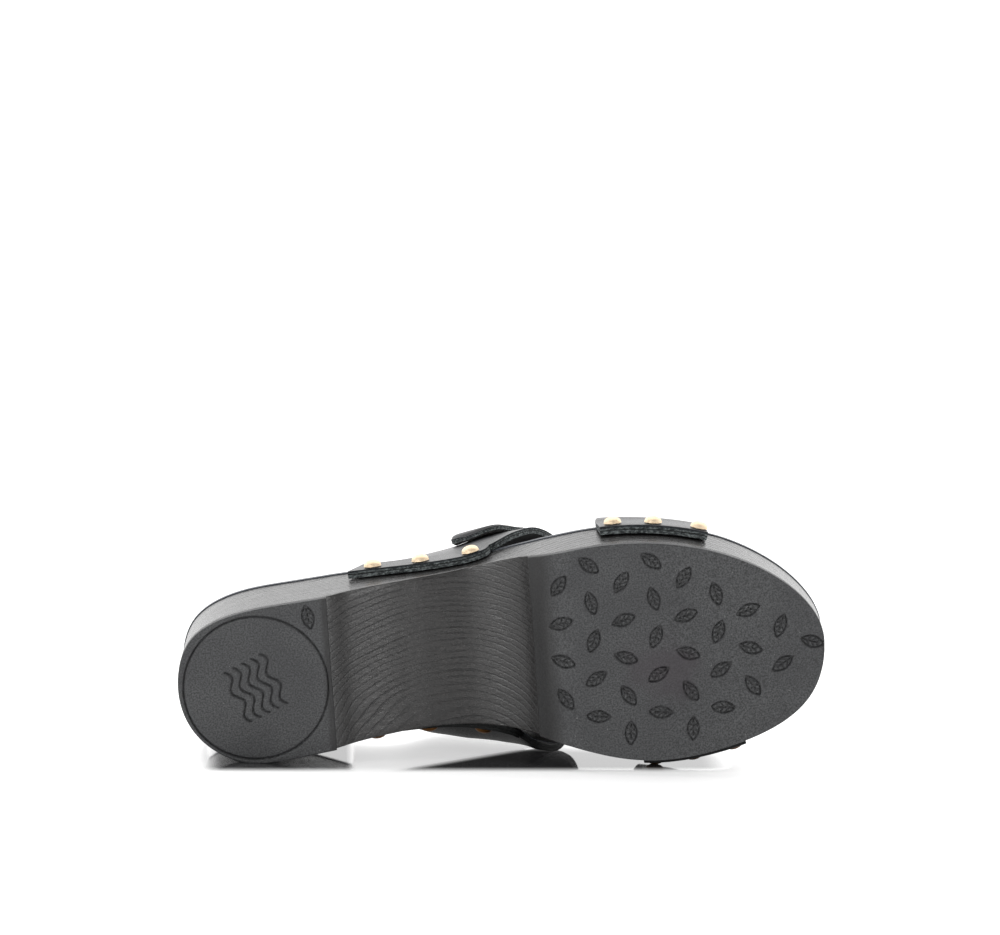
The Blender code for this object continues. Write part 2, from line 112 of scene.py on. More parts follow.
# Plan of the sole: the reach of each side from the middle line
OUTLINE = (
    # along, outer side, inner side
    (0.0, 0.0, 0.0),
    (5.0, 17.5, 17.3),
    (12.0, 23.6, 24.8),
    (20.0, 26.9, 29.5),
    (32.0, 29.4, 31.6),
    (46.0, 30.8, 30.3),
    (60.0, 32.0, 28.4),
    (85.0, 33.4, 26.2),
    (110.0, 35.4, 25.8),
    (130.0, 38.9, 28.4),
    (150.0, 42.7, 33.5),
    (165.0, 44.6, 38.4),
    (182.0, 44.8, 41.5),
    (200.0, 42.4, 40.8),
    (215.0, 38.0, 37.9),
    (228.0, 31.8, 33.8),
    (240.0, 23.2, 27.4),
    (248.0, 14.2, 18.9),
    (LENGTH, 0.0, 0.0),
)

# Side view of the wood: height of its underside and of its seat, and how far each wall leans out
PROFILE = (
    # along, underside, seat, outer flare, inner flare
    (0.0, 3.3, 48.0, -1.4, -1.4),
    (30.0, 3.3, 47.6, -0.2, -0.2),
    (58.0, 3.3, 46.9, 0.0, 0.0),
    (62.0, 5.0, 46.8, 0.1, -0.1),
    (67.0, 8.5, 46.5, 0.2, -0.2),
    (76.0, 12.8, 45.8, 0.3, -0.5),
    (88.0, 17.2, 44.6, 0.4, -1.0),
    (102.0, 20.6, 42.8, 0.5, -1.5),
    (114.0, 21.5, 41.1, 0.5, -0.8),
    (122.0, 20.6, 39.7, 0.6, 0.8),
    (130.0, 18.3, 38.3, 0.6, 3.2),
    (136.0, 15.3, 37.2, 0.7, 5.4),
    (140.0, 11.8, 36.5, 0.7, 6.8),
    (145.0, 7.2, 35.7, 0.8, 6.8),
    (150.0, 4.6, 35.0, 0.8, 5.8),
    (157.0, 3.3, 34.1, 0.9, 4.0),
    (168.0, 3.3, 33.4, 1.0, 2.0),
    (182.0, 3.3, 33.0, 1.0, 1.0),
    (198.0, 3.6, 32.8, 1.0, 1.0),
    (214.0, 4.6, 33.0, 1.1, 1.1),
    (230.0, 6.6, 33.6, 0.8, 0.8),
    (244.0, 9.2, 34.6, 0.5, 0.5),
    (LENGTH, 11.0, 35.2, 0.4, 0.4),
)

# The foot's form under the straps: its crown over the seat, and how far it stands past the sole's edge
FORM = (
    # along, crown, outer swell, inner swell
    (66.0, 74.0, -6.0, 2.0),
    (86.0, 71.0, -4.0, 6.0),
    (100.0, 68.0, -1.5, 12.0),
    (112.0, 65.0, 0.3, 13.5),
    (125.0, 61.0, 2.4, 10.7),
    (140.0, 55.0, 2.4, 4.8),
    (152.0, 50.0, 1.4, 3.0),
    (168.0, 42.0, 1.4, 1.0),
    (190.0, 34.0, 0.9, 0.5),
    (222.0, 25.0, 0.6, 0.5),
)
FORM_ROUND = 0.85
FORM_BELLY = {OUTER: 0.34, INNER: 0.22}

# Each strap's rear and front edge at its two hems and over the crown, how deep the hem laps the wood
# at its rear and front, how much of that depth its rounded front corner loses, its thickness at the hem,
# how late it leaves the hem's line for the crown's, and how far its outer rear edge leans over the hem
TOE_STRAP = {
    OUTER: (168.6, 209.7),
    INNER: (180.0, 219.5),
    "crown": (176.0, 214.0),
    "lap": (16.0, 16.0),
    "corner": 0.0,
    "hem": 3.6,
    "late": 2.2,
    "slant": -1.2,
}
INSTEP_STRAP = {
    OUTER: (69.0, 125.5),
    INNER: (68.0, 133.0),
    "crown": (114.0, 162.0),
    "lap": (14.0, 12.2),
    "corner": 0.75,
    "hem": 3.0,
    "late": 1.0,
    "slant": 6.0,
}
STRAP_LEAN = {OUTER: 0.8, INNER: 0.5}
CORNER_START = 0.78
HEM_DOUBLING = (0.9, 1.1)

# Soft folds across each strap
TOE_FOLDS = (
    # place along the strap, lean over its width, width, depth
    (-0.86, 0.05, 0.05, 0.20),
    (0.84, -0.06, 0.05, 0.20),
    (0.10, 0.22, 0.07, 0.28),
    (-0.34, 0.18, 0.05, 0.16),
)
OUTER_FOLDS = ((-0.84, 0.04, 0.05, 0.2), (-0.60, 0.12, 0.05, 0.12))
INNER_FOLDS = ((0.80, -0.05, 0.06, 0.3), (0.42, 0.15, 0.05, 0.25), (0.18, -0.10, 0.04, 0.2))
STRAP_ROUND = 0.5
TONGUE_ROUND = 1.0

# Studs: where they stand across a hem, from its rear edge to its front edge, and their height over it
STUDS = (
    # name, strap, side, height over the hem, places
    ("toe_outer", TOE_STRAP, OUTER, 4.5, (0.132, 0.504, 0.92)),
    ("toe_inner", TOE_STRAP, INNER, 9.0, (0.12, 0.49, 0.89)),
    ("instep_outer", INSTEP_STRAP, OUTER, 4.1, (0.150, 0.496, 0.866)),
    ("instep_inner", INSTEP_STRAP, INNER, 4.6, (0.12, 0.44, 0.78)),
)

# Buckle and the tongue that runs through it, in millimetres and shares. The three places here, TIP_LONG
# and TIP_TAPER are counted along the strap, as in strap_base
LATERAL_END = -0.16
BUCKLE_PLACE = -0.37
TONGUE_END = -0.85
TONGUE_HALF = 10.0
TONGUE_ACROSS = 0.58
FRAME_LONG = 6.6
FRAME_WIRE = 1.0
BAR_SINK = 0.6
TIP_LONG = 0.17
TIP_RUN = 11.0
TIP_RISE = 0.25
TIP_THICKER = 1.7
TIP_WIDER = 1.6
TIP_ROUND = 1.6
TIP_DROOP = 0.6
TIP_TAPER = 0.15
TIP_BLUNT = 0.03
TIP_EDGE = 0.22
TIP_FRONT_RISE = 0.3
TIP_FRONT_THIN = 0.75
FRAME_CORNER = 2.6
FRAME_OVER = 0.9
FRAME_BESIDE = 0.8
PRONG_WIRE = 0.8
PRONG_ROOT = ((-4.2, 1.5), (-3.5, 3.2), (-3.1, 5.0), (-2.0, 6.3))
PRONG_OVER = ((2.0, 0.6), (FRAME_LONG, 0.0), (9.0, -0.4))
PRONG_TIP = (0.94, 0.061)
HOLE_RADIUS = 1.7
HOLE_STEPS = (-3.4, -11.5)
HOLE_ENDS = (-11.0, 19.0)

# Stretches of the inner half, each as the place where it starts and its length, towards the tail
LAP_CLIMB = (0.18, -0.30)
NARROWING = (0.34, -0.5)
BAR_CLIMB = (BUCKLE_PLACE + 0.05, -0.13)
BAR_DESCENT = (BUCKLE_PLACE - 0.12, -0.14)
TAIL = (BUCKLE_PLACE - 0.14, -0.24)
BAR_RISE = 1.55

# Marks pressed into the rubber
GROOVE_DEPTH = 0.85
GROOVE_HALF = 0.56
MARK_STEP = 0.36
SLANTED = 0.78
HEEL_RING = {"middle": (30.3, 1.4), "radius": 28.2}
HEEL_WAVES = {"count": 5, "step": 3.9, "half": 11.0, "swing": 1.5, "length": 11.0, "turn": 24.0}
HEEL_LEAF = {"middle": (52.5, -25.0), "turn": 80.0}
LEAF = {"long": 4.7, "wide": 2.2, "vein": (-4.7, 2.4)}
LEAF_VEINS = {"starts": (-2.3, -0.3, 1.7), "long": 1.7, "lean": 0.8, "depth": 0.8}
LEAF_ROWS = {"first": 150.5, "step": 12.2, "count": 9, "across": 15.0, "edge": 5.2, "reach": 4.0}
LEAF_TURN = {"first": 20.0, "odd_row": 130.0, "step": 37.0}


def column(rows, index):
    return np.array([row[index] for row in rows])


def hermite(xs, ys, slopes, x):
    i = min(max(int(np.searchsorted(xs, x)) - 1, 0), len(xs) - 2)
    step = xs[i + 1] - xs[i]
    t = (x - xs[i]) / step
    start = (1.0 + 2.0 * t) * (1.0 - t) ** 2 * ys[i] + t * (1.0 - t) ** 2 * step * slopes[i]
    end = t * t * (3.0 - 2.0 * t) * ys[i + 1] + t * t * (t - 1.0) * step * slopes[i + 1]
    return float(start + end)


def held_curve(xs, ys):
    """A smooth curve through the points that never swings past them."""
    steps = np.diff(xs)
    rates = np.diff(ys) / steps
    slopes = np.zeros(len(xs))
    slopes[0] = rates[0]
    slopes[-1] = rates[-1]
    for i in range(1, len(xs) - 1):
        if rates[i - 1] * rates[i] > 0.0:
            ahead = 2.0 * steps[i] + steps[i - 1]
            behind = steps[i] + 2.0 * steps[i - 1]
            slopes[i] = (ahead + behind) / (ahead / rates[i - 1] + behind / rates[i])
    return lambda x: hermite(xs, ys, slopes, x)


def held_curves(rows):
    """Such a curve for each column of a table over its first one."""
    return [held_curve(column(rows, 0), column(rows, index)) for index in range(1, len(rows[0]))]


def even_curve(xs, ys):
    """The curve through the points whose bend changes most evenly."""
    steps = np.diff(xs)
    rates = np.diff(ys) / steps
    count = len(xs)
    system = np.zeros((count, count))
    known = np.zeros(count)
    system[0, :2] = (2.0, 1.0)
    known[0] = 3.0 * rates[0]
    system[-1, -2:] = (1.0, 2.0)
    known[-1] = 3.0 * rates[-1]
    for i in range(1, count - 1):
        system[i, i - 1:i + 2] = (steps[i], 2.0 * (steps[i] + steps[i - 1]), steps[i - 1])
        known[i] = 3.0 * (steps[i] * rates[i - 1] + steps[i - 1] * rates[i])
    slopes = np.linalg.solve(system, known)
    return lambda x: hermite(xs, ys, slopes, x)


def ease(t):
    t = min(max(t, 0.0), 1.0)
    return t * t * (3.0 - 2.0 * t)


def mix(a, b, t):
    return a + (b - a) * t


def lap_angle(along):
    """The place along the shoe as an angle, so that both ends of the plan come out round."""
    return np.arccos(1.0 - 2.0 * along / LENGTH)


def at_angle(angle):
    """The place along the shoe that has this angle."""
    return 0.5 * LENGTH * (1.0 - math.cos(angle))


REACH = {
    OUTER: even_curve(lap_angle(column(OUTLINE, 0)), column(OUTLINE, 1)),
    INNER: even_curve(lap_angle(column(OUTLINE, 0)), column(OUTLINE, 2)),
}
underside, seat, outer_flare, inner_flare = held_curves(PROFILE)
FLARE = {OUTER: outer_flare, INNER: inner_flare}
crown, outer_swell, inner_swell = held_curves(FORM)
SWELL = {OUTER: outer_swell, INNER: inner_swell}


def plan_width(along):
    return REACH[OUTER](lap_angle(along)) + REACH[INNER](lap_angle(along))


def rim_slope(along, side):
    """How the plan runs there: (ahead, out) of a unit step along it."""
    tiny = 1e-4
    angle = lap_angle(along)
    out = (REACH[side](angle + tiny) - REACH[side](angle - tiny)) / (2.0 * tiny)
    ahead = 0.5 * LENGTH * math.sin(angle)
    size = math.hypot(ahead, out)
    return ahead / size, out / size


def rim(along, side, grow):
    """The point of the plan on one side, moved outwards by grow."""
    ahead, out = rim_slope(along, side)
    reach = REACH[side](lap_angle(along)) + grow * ahead
    return along - grow * out, side * reach


def wall(along, side, height, clear):
    """How far the wood's wall stands from the middle line at one height, and this much clear of it."""
    low = underside(along) + WOOD_SOFT[0]
    high = seat(along) - WOOD_SOFT[1]
    up = min((height - low) / (high - low), 1.0)
    ahead = rim_slope(along, side)[0]
    return REACH[side](lap_angle(along)) + (FLARE[side](along) * up + clear) / ahead


def over_foot(along, side, turn):
    """A point of the foot's form: turn is 0 at the sole's edge and 1 over the crown."""
    angle = turn * math.pi / 2.0
    reach = wall(along, side, seat(along), STRAP_CLEAR)
    reach += SWELL[side](along) * math.sin(min(turn / FORM_BELLY[side], 1.0) * math.pi / 2.0)
    y = side * reach * max(math.cos(angle), 0.0) ** FORM_ROUND
    return Vector((along, y, seat(along) + crown(along) * math.sin(angle)))


def hem_depth(strap, across):
    """How far the hem laps down over the wood, less at a rounded front corner."""
    corner = min(max(across - CORNER_START, 0.0) / (1.0 - CORNER_START), 1.0)
    return mix(*strap["lap"], across) * (1.0 - strap["corner"] * (1.0 - math.sqrt(1.0 - corner * corner)))


def strap_base(strap, place, across):
    """A point under a strap. place runs from -2 at the outer hem over 0, the crown, to 2 at the inner
    hem, with the sole's edges at -1 and 1. across runs from 0 at the rear edge to 1 at the front."""
    side = OUTER if place < 0.0 else INNER
    turn = max(1.0 - abs(place), 0.0)
    lean = math.sin(turn * math.pi / 2.0) ** (STRAP_LEAN[side] * strap["late"])
    slant = strap["slant"] * (2.0 - max(abs(place), 1.0)) if side == OUTER else 0.0
    rear = mix(strap[side][0] + slant, strap["crown"][0], lean)
    front = mix(strap[side][1], strap["crown"][1], lean)
    along = mix(rear, front, across)
    if turn > 0.0:
        return over_foot(along, side, turn)
    height = seat(along) - (abs(place) - 1.0) * hem_depth(strap, across)
    return Vector((along, side * wall(along, side, height, STRAP_CLEAR), height))


def strap_axes(strap, place, across):
    """At a point of a strap: the way along it, the way across it and the way out of it."""
    tiny = 1e-3
    along = strap_base(strap, place + tiny, across) - strap_base(strap, place - tiny, across)
    front = strap_base(strap, place, across + tiny) - strap_base(strap, place, across - tiny)
    out = front.cross(along).normalized()
    along.normalize()
    return along, along.cross(out).normalized(), out


def passed(stretch, value):
    """How much of a stretch, given as its start and length, a value has passed, eased from 0 to 1."""
    return ease((value - stretch[0]) / stretch[1])


def leather(strap, place):
    """Thickness of a strap: doubled at its hem, single over the foot."""
    return mix(LEATHER_CROWN, strap["hem"], passed(HEM_DOUBLING, abs(place)))


def strap_face(strap, place, across):
    """A point of a strap's upper face."""
    out = strap_axes(strap, place, across)[2]
    return strap_base(strap, place, across) + out * leather(strap, place)


def tongue_lift(place):
    """Clearance of the inner half over the foot's form: it climbs on the outer half, runs under the
    buckle's far bar and over its near bar, and its tail lies down again."""
    lap_on = (LEATHER_CROWN + GAP) * passed(LAP_CLIMB, place)
    over_bar = BAR_RISE * FRAME_WIRE * passed(BAR_CLIMB, place)
    return lap_on + over_bar * (1.0 - passed(BAR_DESCENT, place))


def tip_curl(place, across):
    """How far the tail's tip has curled up, most at its rear corner, and the angle it leans back by."""
    part = min(max((TONGUE_END + TIP_LONG - place) / TIP_LONG, 0.0), 1.0)
    rise = TIP_RISE * mix(1.0, TIP_FRONT_RISE, across)
    return rise * part * part, math.atan(2.0 * rise * part / TIP_RUN)


def tongue_half(place):
    """Half the tongue's width, round at its tip."""
    to_tip = max(1.0 - (place - TONGUE_END) / TIP_TAPER, 0.0)
    return TONGUE_HALF * math.sqrt(max(1.0 - to_tip ** 2, TIP_BLUNT))


def tongue_edge(place, across):
    """How much of the tongue's thickness is left there: its cut edges are rubbed round."""
    to_tip = max(1.0 - (place - TONGUE_END) / TIP_TAPER, 0.0)
    off = tongue_half(place) / TONGUE_HALF * (2.0 * across - 1.0)
    inside = TONGUE_HALF * max(1.0 - math.hypot(to_tip, off), 0.0)
    return math.sqrt(max(1.0 - max(1.0 - inside / TIP_ROUND, 0.0) ** 2, TIP_EDGE))


def inner_half_pair(place, across):
    """The lower and upper point of the inner half of the instep strap."""
    lift = tongue_lift(place)
    tail = passed(TAIL, place)
    thick = leather(INSTEP_STRAP, place) + TIP_THICKER * tail * (1.0 - TIP_FRONT_THIN * across)
    base = strap_base(INSTEP_STRAP, place, across)
    out = strap_axes(INSTEP_STRAP, place, across)[2]
    low = base + out * lift
    high = base + out * (lift + thick)
    way, front, out = strap_axes(INSTEP_STRAP, place, TONGUE_ACROSS)
    wider = TIP_WIDER * tail * (1.0 - across)
    droop = TIP_DROOP * tail * (1.0 - across) ** 2
    middle = strap_base(INSTEP_STRAP, place, TONGUE_ACROSS)
    middle = middle + front * (tongue_half(place) * (2.0 * across - 1.0) - wider)
    curl, lean = tip_curl(place, across)
    up = out * math.cos(lean) + way * math.sin(lean)
    thin = 0.5 * thick * (1.0 - mix(1.0, tongue_edge(place, across), tail))
    tongue_low = middle + out * (lift + curl - droop) + up * thin
    tongue_high = tongue_low + up * (thick - 2.0 * thin)
    narrow = passed(NARROWING, place)
    return mix(low, tongue_low, narrow), mix(high, tongue_high, narrow)


def strap_pair(strap):
    """A function for the lower and upper point of a plain strap."""
    return lambda place, across: (strap_base(strap, place, across), strap_face(strap, place, across))


def buckle_axes():
    """Origin and axes of the buckle: on the outer half's face, along the strap, across it and out."""
    way, front, out = strap_axes(INSTEP_STRAP, BUCKLE_PLACE, TONGUE_ACROSS)
    origin = strap_face(INSTEP_STRAP, BUCKLE_PLACE, TONGUE_ACROSS)
    return origin, way, front, out


# Materials

class Nodes:
    """Short calls for the nodes of a tree."""

    def __init__(self, tree):
        self.tree = tree

    def put(self, socket, value):
        if isinstance(value, bpy.types.NodeSocket):
            self.tree.links.new(value, socket)
        elif isinstance(value, tuple) and len(value) == 3 and socket.type == "RGBA":
            socket.default_value = (*value, 1.0)
        else:
            socket.default_value = value

    def add(self, kind, *values, **settings):
        """A new node with these settings, and these values or links in its first sockets."""
        node = self.tree.nodes.new("ShaderNode" + kind)
        for key, value in settings.items():
            setattr(node, key, value)
        for socket, value in zip(node.inputs, values):
            self.put(socket, value)
        return node

    def math(self, operation, *values):
        return self.add("Math", *values, operation=operation).outputs[0]

    def times(self, a, b):
        return self.math("MULTIPLY", a, b)

    def plus(self, a, b):
        return self.math("ADD", a, b)

    def minus(self, a, b):
        return self.math("SUBTRACT", a, b)

    def split(self, vector):
        return self.add("SeparateXYZ", vector).outputs[:]

    def noise(self, vector, scale, detail=2.0, rough=0.5):
        return self.add("TexNoise", vector, 0.0, scale, detail, rough).outputs["Fac"]

    def cells(self, vector, scale):
        """Distance to the nearest border between cells."""
        return self.add("TexVoronoi", vector, 0.0, scale, feature="DISTANCE_TO_EDGE").outputs["Distance"]

    def spread(self, value, low, high, to_low=0.0, to_high=1.0, smooth=True):
        """Maps a value from one range to another, and holds it there."""
        kind = "SMOOTHSTEP" if smooth else "LINEAR"
        return self.add("MapRange", value, low, high, to_low, to_high, interpolation_type=kind).outputs[0]

    def band(self, value, start, full, end, full_end):
        """1 between two fades and 0 outside them."""
        return self.times(self.spread(value, start, full), self.spread(value, end, full_end))

    def blend(self, factor, a, b):
        node = self.add("Mix", factor, data_type="RGBA")
        self.put(node.inputs[6], a)
        self.put(node.inputs[7], b)
        return node.outputs[2]

    def attribute(self, name):
        return self.add("Attribute", attribute_name=name).outputs["Fac"]


class Look(Nodes):
    """A material. mm is the place on the standing shoe in millimetres, and place is the place in the
    scene in metres."""

    def __init__(self, name, **values):
        self.material = bpy.data.materials.new(name)
        self.material.use_nodes = True
        super().__init__(self.material.node_tree)
        self.shader = self.tree.nodes["Principled BSDF"]
        self.set(**values)
        self.place = self.add("TexCoord").outputs["Object"]
        lying = (LAID.translation, LAID.to_euler(), (MM, MM, MM))
        self.mm = self.add("Mapping", self.place, *lying, vector_type="TEXTURE").outputs["Vector"]

    def grain(self, stretch, *values):
        """Noise that is stretched along the shoe."""
        stretched = self.add("VectorMath", self.mm, stretch, operation="MULTIPLY").outputs[0]
        return self.noise(stretched, *values)

    def set(self, **values):
        for key, value in values.items():
            socket = key.replace("_", " ").title().replace("Ior", "IOR")
            self.put(self.shader.inputs[socket], value)

    def bump(self, height, distance, strength=1.0, below=None):
        """Relief of a height in units of the distance, in millimetres."""
        node = self.add("Bump")
        node.inputs["Strength"].default_value = strength
        node.inputs["Distance"].default_value = distance * MM
        self.put(node.inputs["Height"], height)
        if below is not None:
            self.put(node.inputs["Normal"], below)
        self.put(self.shader.inputs["Normal"], node.outputs[0])
        return node.outputs[0]


# Growth rings lie round a line beside the sole, which runs nearly along it
PITH = {"across": 58.0, "height": 80.0, "drift": 0.1, "start": 114.0}
RING_STEP = 1.85
WAIST = 98.0


def wood_look():
    """Black stain over open grain: thin sunk ring lines, short pores along the grain and a satin finish."""
    look = Look("black_stained_wood")
    x, y, z = look.split(look.mm)
    drift = look.times(look.minus(x, PITH["start"]), PITH["drift"])
    side = look.plus(look.minus(PITH["across"], y), drift)
    rise = look.minus(PITH["height"], z)
    squares = look.plus(look.times(side, side), look.times(rise, rise))
    slow = look.grain((0.012, 0.05, 0.05), 1.0, 1.0)
    quick = look.grain((0.45, 1.1, 1.1), 1.0, 2.0)
    wander = look.plus(look.times(slow, 4.5), look.times(quick, 0.6))
    phase = look.math("DIVIDE", look.plus(look.math("SQRT", squares), wander), RING_STEP)
    part = look.math("FRACT", phase)
    line = look.band(part, 0.62, 0.86, 1.0, 0.94)
    number = look.add("TexWhiteNoise", noise_dimensions="1D")
    look.put(number.inputs["W"], look.math("FLOOR", phase))
    line = look.times(line, look.spread(number.outputs["Value"], 0.0, 0.8, 0.55, 1.0, smooth=False))
    broken = look.grain((0.30, 1.4, 1.4), 1.0, 3.0)
    line = look.times(line, look.spread(broken, 0.34, 0.54, 0.50, 1.0))
    # painted shade: the ring lines fade at the waist, where shade hides them
    waist = look.math("ABSOLUTE", look.minus(x, WAIST))
    line = look.times(line, look.spread(waist, 3.0, 13.0, 0.35, 1.0))
    fibre = look.grain((0.9, 1.8, 1.8), 1.0, 3.0, 0.7)
    streak = look.grain((0.035, 0.30, 0.30), 1.0, 4.0, 0.65)
    pore = look.spread(look.grain((1.1, 2.6, 2.6), 1.0, 2.0), 0.58, 0.68)
    tone = look.blend(look.spread(fibre, 0.36, 0.64), (0.003, 0.0028, 0.0027), (0.0205, 0.0187, 0.0182))
    tone = look.blend(look.spread(streak, 0.35, 0.65, 0.0, 0.35), tone, (0.011, 0.010, 0.010))
    tone = look.blend(look.times(pore, 0.6), tone, (0.004, 0.004, 0.004))
    tone = look.blend(look.times(line, 0.9), tone, (0.002, 0.002, 0.002))
    rough = look.plus(look.spread(fibre, 0.3, 0.7, 0.33, 0.25), look.times(line, 0.2))
    look.set(base_color=tone, roughness=rough)
    sunk = look.plus(look.times(line, 0.9), look.times(pore, 0.15))
    small = look.bump(look.minus(look.times(fibre, 0.22), sunk), 0.12, 0.9)
    look.bump(streak, 0.25, 1.0, small)
    return look.material


# On the rubber: the rubbed patch under the ball, and the painted shade on the ends that turn up to the
# arch, each between two fades along the shoe
BALL_PATCH = {"middle": (190.0, 5.0), "reach": (17.0, 15.0)}
SHADED_ENDS = (
    (FOREFOOT_EDGE - 1.0, FOREFOOT_EDGE, 151.0, 144.0),
    (56.5, 59.0, HEEL_BREAST + 4.0, HEEL_BREAST + 2.0),
)


def rubber_look():
    """Moulded black rubber with a dusty speckle, darkened with dirt and painted shade in its pressed lines,
    and with painted shade at its two inner ends.
    """
    look = Look("black_rubber", ior=1.46)
    x, y = look.split(look.mm)[:2]
    speck = look.noise(look.mm, 1.5, 3.0, 0.7)
    cloud = look.noise(look.mm, 0.035, 3.0, 0.55)
    dust = look.spread(look.noise(look.mm, 0.95, 1.0), 0.74, 0.80)
    tone = look.blend(look.spread(speck, 0.34, 0.66), (0.009, 0.0092, 0.0096), (0.052, 0.0535, 0.0555))
    tone = look.blend(look.spread(cloud, 0.35, 0.7, 0.0, 0.35), tone, (0.026, 0.026, 0.028))
    tone = look.blend(look.times(dust, 0.5), tone, (0.15, 0.15, 0.15))
    # a darker rubbed patch under the ball
    squares = []
    for place, middle, reach in zip((x, y), BALL_PATCH["middle"], BALL_PATCH["reach"]):
        off = look.math("DIVIDE", look.minus(place, middle), reach)
        squares.append(look.times(off, off))
    far = look.math("SQRT", look.plus(*squares))
    ragged = look.minus(look.noise(look.mm, 0.11, 4.0), 0.5)
    patch = look.spread(look.plus(far, look.times(ragged, 1.6)), 1.25, 0.15, 0.0, 0.7)
    tone = look.blend(patch, tone, (0.022, 0.017, 0.021))
    # painted shade along the ends that turn up to the arch
    ends = [look.band(x, *fades) for fades in SHADED_ENDS]
    end_shade = look.times(look.plus(*ends), 0.75)
    tone = look.blend(end_shade, tone, (0.008, 0.0075, 0.0075))
    # dirt and painted shade: the pressed lines are darkened
    pressed = look.attribute("groove")
    tone = look.blend(look.times(pressed, 0.66), tone, (0.004, 0.004, 0.004))
    look.set(base_color=tone, roughness=look.spread(cloud, 0.3, 0.7, 0.56, 0.70))
    look.bump(speck, 0.12, 0.7)
    return look.material


def leather_look(name, gloss, rough):
    """Black leather with a fine pebble, and painted shade that darkens it low by the floor, on the side the
    shoe lies on.
    """
    look = Look(name, specular_ior_level=gloss)
    pebble = look.cells(look.mm, 0.85)
    fine = look.noise(look.mm, 2.2, 3.0, 0.6)
    cloud = look.noise(look.mm, 0.06, 3.0)
    tone = look.blend(look.spread(cloud, 0.3, 0.7), (0.012, 0.012, 0.013), (0.022, 0.022, 0.024))
    # painted shade: darker low by the floor
    height = look.split(look.place)[2]
    tone = look.blend(look.spread(height, 0.040, 0.015), tone, (0.003, 0.003, 0.003))
    look.set(base_color=tone, roughness=look.spread(fine, 0.3, 0.7, *rough))
    grain = look.plus(look.spread(pebble, 0.0, 0.22), look.times(fine, 0.5))
    look.bump(grain, 0.07, 0.6)
    return look.material


def flesh_look(name, dark, light):
    """The rough underside of the leather: painted light high above the floor and painted shade low down."""
    look = Look(name, roughness=0.9, specular_ior_level=0.25)
    nap = look.grain((0.9, 1.2, 1.2), 1.2, 4.0, 0.7)
    height = look.split(look.place)[2]
    # painted light high up and painted shade low down, between the two colours given
    light = look.blend(look.spread(height, 0.050, 0.075), dark, light)
    look.set(base_color=look.blend(look.spread(nap, 0.38, 0.66), dark, light))
    look.bump(nap, 0.14, 0.7)
    return look.material


def cut_edge_look():
    """The cut edge of the leather: loose fibres, and the line between the outer layer and its lining."""
    look = Look("leather_cut_edge", roughness=0.75, specular_ior_level=0.25)
    fibre = look.grain((0.6, 1.0, 1.0), 1.2, 4.0, 0.72)
    layer = look.attribute("layer")
    line = look.spread(look.math("ABSOLUTE", look.minus(layer, 0.50)), 0.11, 0.03)
    tone = look.blend(look.spread(fibre, 0.40, 0.66), (0.013, 0.016, 0.017), (0.160, 0.180, 0.180))
    tone = look.blend(look.times(line, 0.85), tone, (0.003, 0.003, 0.003))
    # the dyed face shows as a dark band along the top
    tone = look.blend(look.spread(layer, 0.66, 0.84, 0.0, 0.85), tone, (0.004, 0.005, 0.008))
    # painted shade: black low by the floor, on the side it lies on
    height = look.split(look.place)[2]
    tone = look.blend(look.spread(height, 0.034, 0.014, 0.0, 0.92), tone, (0.003, 0.003, 0.003))
    look.set(base_color=tone)
    relief = look.minus(fibre, look.times(line, 0.8))
    look.bump(relief, 0.20, 0.7)
    return look.material


def bed_look():
    """The footbed's leather: a finer grain than the straps, with clouds of more and less shine."""
    look = Look("footbed_leather")
    pebble = look.cells(look.mm, 1.3)
    fine = look.noise(look.mm, 2.8, 3.0, 0.6)
    cloud = look.noise(look.mm, 0.045, 3.0)
    tone = look.blend(look.spread(cloud, 0.3, 0.7), (0.012, 0.015, 0.022), (0.022, 0.027, 0.038))
    look.set(base_color=tone, roughness=look.spread(cloud, 0.3, 0.7, 0.36, 0.50))
    grain = look.plus(look.spread(pebble, 0.0, 0.2), look.times(fine, 0.5))
    look.bump(grain, 0.05, 0.6)
    return look.material


def brass_look():
    """Pale brass with a soft shine, and painted shade, dark brown, low by the floor on the side the shoe
    lies on.
    """
    look = Look("pale_brass", metallic=1.0)
    cloud = look.noise(look.mm, 0.8, 3.0)
    scratch = look.grain((1.0, 6.0, 2.0), 1.5, 3.0)
    height = look.split(look.place)[2]
    tone = look.blend(look.spread(cloud, 0.3, 0.7), (0.66, 0.53, 0.37), (0.72, 0.60, 0.45))
    # painted shade: dark brown low by the floor
    tone = look.blend(look.spread(height, 0.040, 0.020), tone, (0.10, 0.045, 0.014))
    look.set(base_color=tone, roughness=look.spread(scratch, 0.3, 0.7, 0.58, 0.66))
    look.bump(scratch, 0.012, 0.5)
    return look.material


# Meshes

def ring_faces(rings, size, closed=False):
    """Faces between rings that follow each other, with a cap on each end or closed to a loop."""
    faces = [list(range(size - 1, -1, -1))]
    for i in range(rings if closed else rings - 1):
        here = i * size
        ahead = (i + 1) % rings * size
        for j in range(size):
            k = (j + 1) % size
            faces.append([here + j, here + k, ahead + k, ahead + j])
    faces.append(list(range((rings - 1) * size, rings * size)))
    return faces[1:-1] if closed else faces


def new_object(name, data):
    obj = bpy.data.objects.new(name, data)
    bpy.context.scene.collection.objects.link(obj)
    return obj


def face_outwards(mesh):
    shell = bmesh.new()
    shell.from_mesh(mesh)
    bmesh.ops.recalc_face_normals(shell, faces=shell.faces)
    shell.to_mesh(mesh)
    shell.free()


